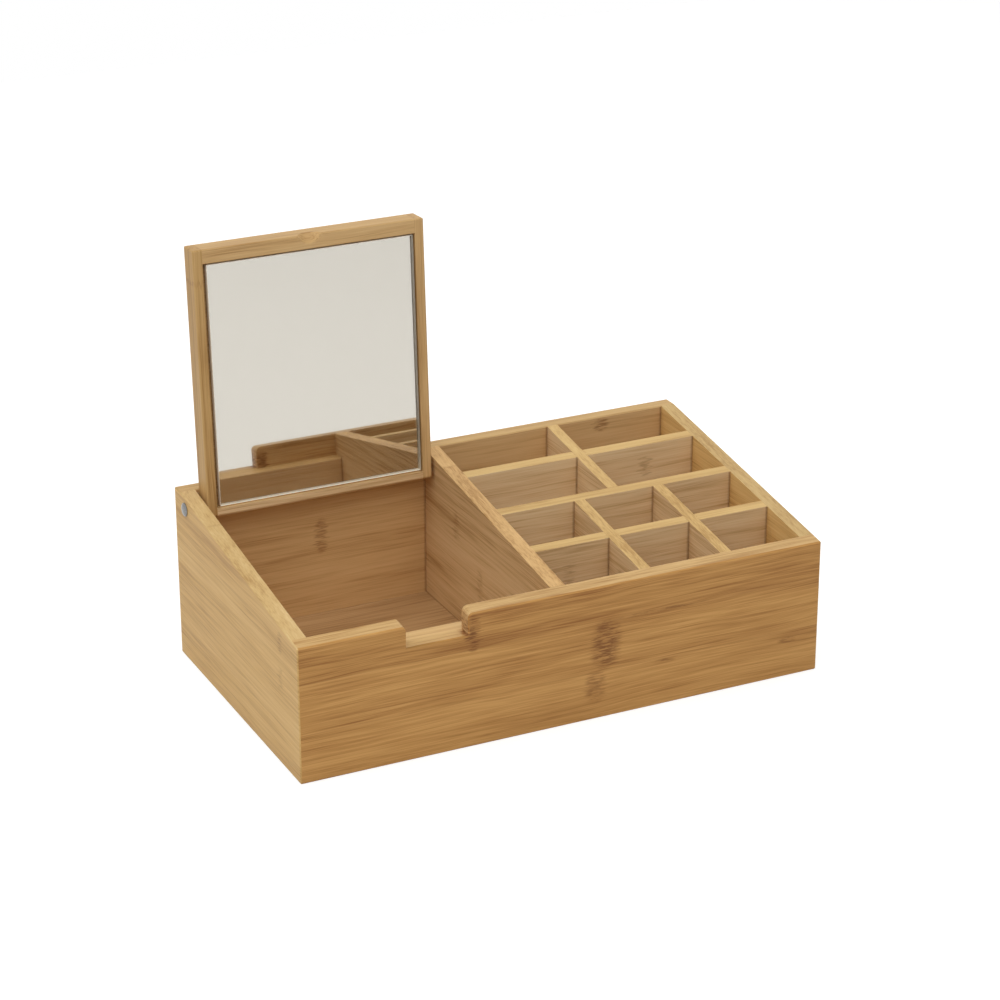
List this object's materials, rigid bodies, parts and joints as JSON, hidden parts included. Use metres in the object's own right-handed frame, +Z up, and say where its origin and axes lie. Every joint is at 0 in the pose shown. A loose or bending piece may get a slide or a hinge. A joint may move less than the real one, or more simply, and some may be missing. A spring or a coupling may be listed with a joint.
{
  "type": "vanity organizer with mirror",
  "caption": "Desktop vanity organiser in bamboo board: an open bin under a hinged mirror lid beside a grid of small open cells, all under one rim that slopes down to a finger-notched front.",
  "frame": {"origin": "on the table, under the middle of the box's footprint", "axes": "+X to the right along the box's width, +Y towards the tall back panel, +Z up"},
  "size_m": [0.2815, 0.159, 0.2164],
  "materials": {
    "bamboo_board": "clear satin lacquer on bamboo",
    "bamboo_partition": "clear satin lacquer on bamboo",
    "bamboo_base": "clear satin lacquer on carbonised bamboo",
    "bamboo_lid": "clear satin lacquer on bamboo",
    "mirror_silver": "polished silvered glass",
    "adhesive_foam": "double-sided foam sheet",
    "pin_steel": "polished steel"
  },
  "bodies": {
    "box": {"front_panel": "bamboo_board", "back_panel": "bamboo_board", "left_side_panel": "bamboo_board", "right_side_panel": "bamboo_board", "compartment_divider": "bamboo_board", "base_panel": "bamboo_base", "lid_rest_board": "bamboo_board", "rear_crossbar": "bamboo_partition", "middle_crossbar": "bamboo_partition", "front_crossbar": "bamboo_partition", "rear_column_divider": "bamboo_partition", "left_column_divider": "bamboo_partition", "right_column_divider": "bamboo_partition", "left_pivot_pin": "pin_steel", "right_pivot_pin": "pin_steel"},
    "lid": {"lid_left_stile": "bamboo_lid", "lid_right_stile": "bamboo_lid", "lid_top_rail": "bamboo_lid", "lid_bottom_rail": "bamboo_lid", "lid_back_panel": "bamboo_lid", "mirror_glass": "mirror_silver", "mirror_adhesive": "adhesive_foam"}
  },
  "joints": [
    {"name": "lid_hinge", "type": "hinge", "parent": "box", "child": "lid", "pos_m": [-0.06925, 0.06481, 0.0842], "axis": [1, 0, 0], "range_deg": [0, 101.4]}
  ]
}
